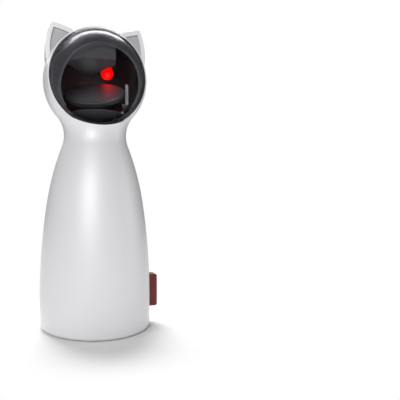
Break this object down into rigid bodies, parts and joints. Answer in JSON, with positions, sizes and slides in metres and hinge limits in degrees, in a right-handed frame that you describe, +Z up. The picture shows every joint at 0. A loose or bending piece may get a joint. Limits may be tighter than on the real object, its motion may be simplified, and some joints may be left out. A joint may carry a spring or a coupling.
{
  "type": "automatic cat laser toy",
  "caption": "Bottle-shaped automatic cat laser toy with cat ears, a smoked dome over a turning mirror, and a red slide switch on its side.",
  "frame": {"origin": "centre of the round foot, on the surface that the toy stands on", "axes": "+Z up, the dome looks along -Y, the switch is on +X"},
  "size_m": [0.0815, 0.0752, 0.203],
  "materials": {
    "shell_white": "gloss moulded ABS",
    "ear_grey": "satin moulded ABS",
    "gloss_black": "gloss black ABS",
    "smoked_clear": "polished smoked polycarbonate",
    "knob_red": "satin red ABS",
    "mirror_glass": "front-silvered glass",
    "brass": "turned",
    "laser_red": "lit red lens",
    "steel": "bright",
    "gear_white": "moulded acetal",
    "tray_black": "moulded",
    "cell_sleeve": "plain printed sleeve",
    "board_green": "solder mask",
    "chip_black": "moulded epoxy",
    "foot_rubber": "moulded"
  },
  "bodies": {
    "casing": {"base_plate": "shell_white", "base_screws": "steel", "battery_cells": "cell_sleeve", "battery_springs": "steel", "battery_tray": "tray_black", "board_spacers": "gear_white", "capacitor": "chip_black", "circuit_board": "board_green", "contact_plates": "steel", "control_chip": "chip_black", "drive_motor": "steel", "driver_chip": "chip_black", "front_shell": "shell_white", "gear_frame": "tray_black", "gear_lid": "tray_black", "gear_pin": "steel", "head_ring": "gloss_black", "head_tub": "gloss_black", "inner_hood": "gloss_black", "laser_board": "board_green", "laser_housing": "gloss_black", "laser_lens": "laser_red", "laser_module": "brass", "left_ear_inset": "ear_grey", "motor_end_cap": "chip_black", "rear_shell": "shell_white", "right_ear_inset": "ear_grey", "rubber_pad": "foot_rubber", "smoked_dome": "smoked_clear", "spindle_bush": "brass", "switch_board": "board_green", "switch_body": "chip_black"},
    "switch_slider": {"power_knob": "knob_red"},
    "battery_hatch": {"battery_door": "shell_white", "door_screw": "steel"},
    "mirror_turret": {"mirror_bowl": "gloss_black", "spindle": "steel", "spindle_gear": "gear_white"},
    "tilt_mirror": {"mirror_holder": "gloss_black", "mirror_glass": "mirror_glass"},
    "idler": {"idler_gear": "gear_white"},
    "motor_rotor": {"motor_pinion": "brass", "motor_shaft": "steel"}
  },
  "joints": [
    {"name": "switch_slide", "type": "slide", "parent": "casing", "child": "switch_slider", "axis": [0, 0, 1], "range_m": [-0.003, 0.003]},
    {"name": "door_lift_off", "type": "slide", "parent": "casing", "child": "battery_hatch", "axis": [0, 1, 0], "range_m": [0, 0.03]},
    {"name": "mirror_turn", "type": "hinge", "parent": "casing", "child": "mirror_turret", "pos_m": [0, 0, 0.12], "axis": [0, 0, 1], "continuous": true},
    {"name": "mirror_tilt", "type": "hinge", "parent": "mirror_turret", "child": "tilt_mirror", "pos_m": [0, 0, 0.15751], "axis": [0.9397, -0.342, 0], "range_deg": [-7, 7]},
    {"name": "idler_turn", "type": "hinge", "parent": "casing", "child": "idler", "pos_m": [0, 0.0125, 0.1], "axis": [0, 0, 1], "continuous": true},
    {"name": "motor_turn", "type": "hinge", "parent": "casing", "child": "motor_rotor", "pos_m": [-0.01207, 0.00927, 0.1], "axis": [0, 0, 1], "continuous": true}
  ],
  "couplings": [
    {"joint": "idler_turn", "follows": "mirror_turn", "ratio": -4},
    {"joint": "motor_turn", "follows": "mirror_turn", "ratio": 16}
  ]
}
